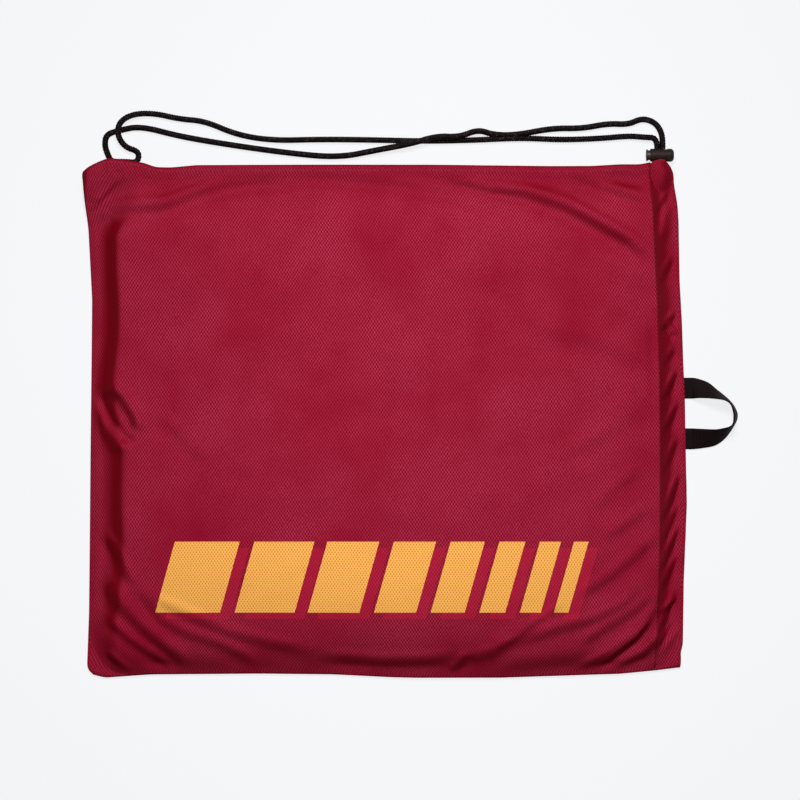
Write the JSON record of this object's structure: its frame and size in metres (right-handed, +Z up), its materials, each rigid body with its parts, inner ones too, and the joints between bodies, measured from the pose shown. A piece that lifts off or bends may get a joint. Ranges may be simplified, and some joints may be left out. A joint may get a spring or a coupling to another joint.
{
  "type": "drawstring bag",
  "caption": "Filled drawstring bag of mesh knit with side gusset, braided drawcord, barrel cord lock and webbing handle loop.",
  "frame": {"origin": "middle of the flat underside of the bag as it lies", "axes": "+X along the mouth towards the handle, +Y out of the mouth, +Z up from the underside"},
  "size_m": [0.6191, 0.5363, 0.038],
  "materials": {
    "mesh_knit": "matt mesh knit with small dimples",
    "cord_braid": "braided polyester cord",
    "webbing": "flat woven webbing",
    "lock_plastic": "satin moulded plastic",
    "spring_wire": "drawn wire"
  },
  "bodies": {
    "bag": {"front_panel": "mesh_knit", "back_panel": "mesh_knit", "side_gusset": "mesh_knit", "front_casing": "mesh_knit", "back_casing": "mesh_knit", "corner_gather": "mesh_knit", "drawcord_loop": "cord_braid", "drawcord_casing": "cord_braid", "cord_lock_barrel": "lock_plastic", "cord_lock_spring": "spring_wire", "handle_upper_end": "webbing", "handle_lower_end": "webbing"},
    "lock_plunger": {"cord_lock_plunger": "lock_plastic"},
    "handle": {"handle_loop": "webbing"}
  },
  "joints": [
    {"name": "plunger_press", "type": "slide", "parent": "bag", "child": "lock_plunger", "axis": [1, 0, 0], "range_m": [0, 0.0024], "stiffness_N_per_m": 400, "deforming": ["cord_lock_spring"]},
    {"name": "handle_fold", "type": "hinge", "parent": "bag", "child": "handle", "pos_m": [0.2864, 0.00715, 0.003], "axis": [0, -1, 0], "range_deg": [0, 90]}
  ]
}
